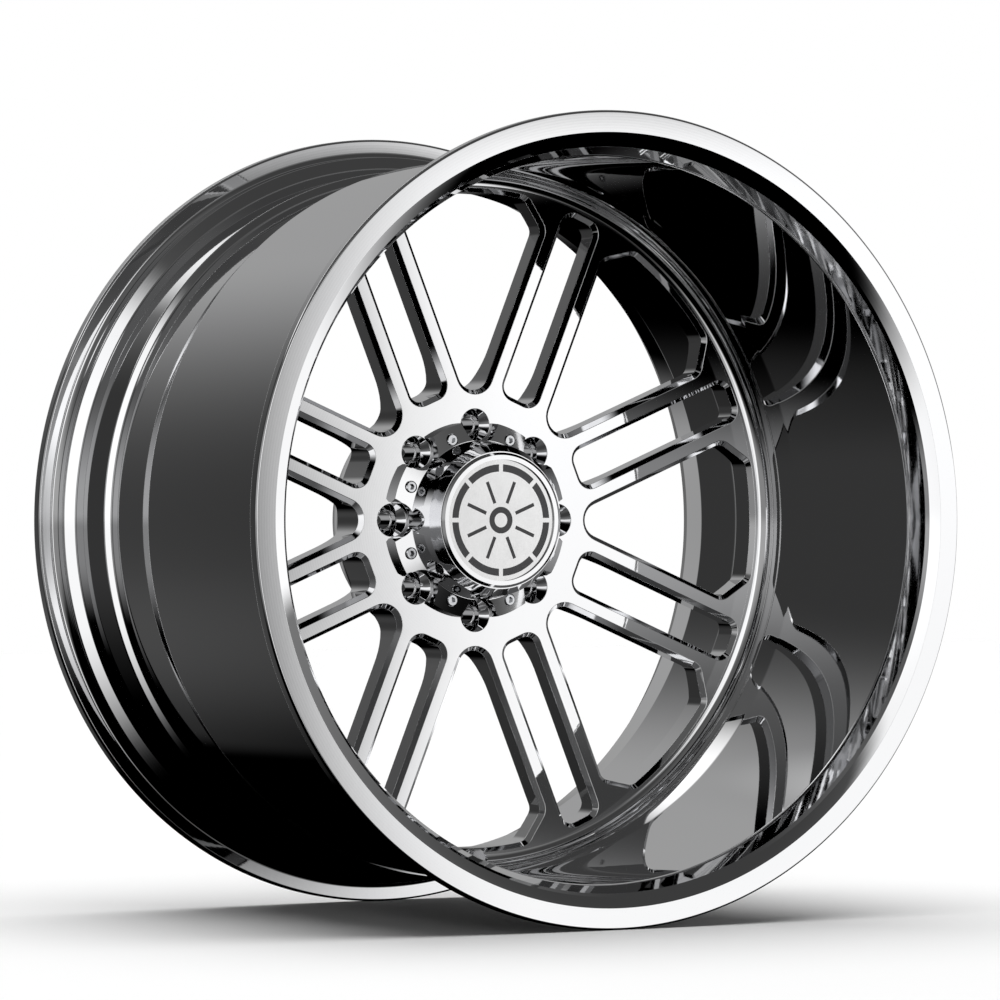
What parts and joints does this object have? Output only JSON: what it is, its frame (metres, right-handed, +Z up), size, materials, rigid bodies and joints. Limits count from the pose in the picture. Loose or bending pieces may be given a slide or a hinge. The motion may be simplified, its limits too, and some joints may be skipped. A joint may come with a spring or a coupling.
{
  "type": "truck wheel",
  "caption": "Polished forged truck wheel with split spokes, a very deep stepped lip, a bolted tower centre cap and a clamp-in tyre valve.",
  "frame": {"origin": "centre of the hub mounting face", "axes": "the wheel's axis is Y, with the outer, deep-lipped face towards -Y and the hub face towards +Y; +Z is up, with the valve at the bottom; +X to the right seen from the outer face"},
  "size_m": [0.6999, 0.4296, 0.7],
  "materials": {
    "polished_aluminium": "mirror-polished forged aluminium",
    "cap_aluminium": "polished billet aluminium",
    "screw_steel": "bright plated socket-head screws",
    "seal_rubber": "smooth black rubber",
    "badge_silver": "satin silver plate under clear lacquer",
    "badge_ink": "dark inlay",
    "plated_brass": "chromed brass",
    "core_brass": "turned brass",
    "core_seal": "red seal rubber",
    "spring_steel": "drawn wire"
  },
  "bodies": {
    "wheel": {"wheel_forging": "polished_aluminium", "cap_flange": "cap_aluminium", "cap_flange_screws": "screw_steel", "cap_tower": "cap_aluminium", "cap_ring": "cap_aluminium", "cap_ring_seal": "seal_rubber", "cap_badge_plate": "badge_silver", "cap_badge_inlay": "badge_ink", "valve_stem": "plated_brass", "valve_inner_grommet": "seal_rubber", "valve_outer_grommet": "seal_rubber", "valve_washer": "plated_brass", "valve_nut": "plated_brass", "valve_core_body": "core_brass", "valve_core_gasket": "core_seal", "valve_core_spring": "spring_steel"},
    "valve_pin": {"valve_core_pin": "core_brass", "valve_core_seal": "core_seal"},
    "cap_insert": {"valve_cap_gasket": "seal_rubber"},
    "valve_cap": {"valve_cap": "plated_brass"}
  },
  "joints": [
    {"name": "valve_pin_press", "type": "slide", "parent": "wheel", "child": "valve_pin", "axis": [0, 0.809, -0.5878], "range_m": [0, 0.0012], "stiffness_N_per_m": 800, "springref_m": -0.001, "deforming": ["valve_core_spring"]},
    {"name": "valve_cap_lift", "type": "slide", "parent": "wheel", "child": "cap_insert", "axis": [0, -0.809, 0.5878], "range_m": [0, 0.0028]},
    {"name": "valve_cap_turn", "type": "hinge", "parent": "cap_insert", "child": "valve_cap", "pos_m": [0, -0.06425, -0.3065], "axis": [0, -0.809, 0.5878], "range_deg": [0, 1300]}
  ],
  "couplings": [
    {"joint": "valve_cap_turn", "follows": "valve_cap_lift", "rad_per_m": 7915.8}
  ]
}
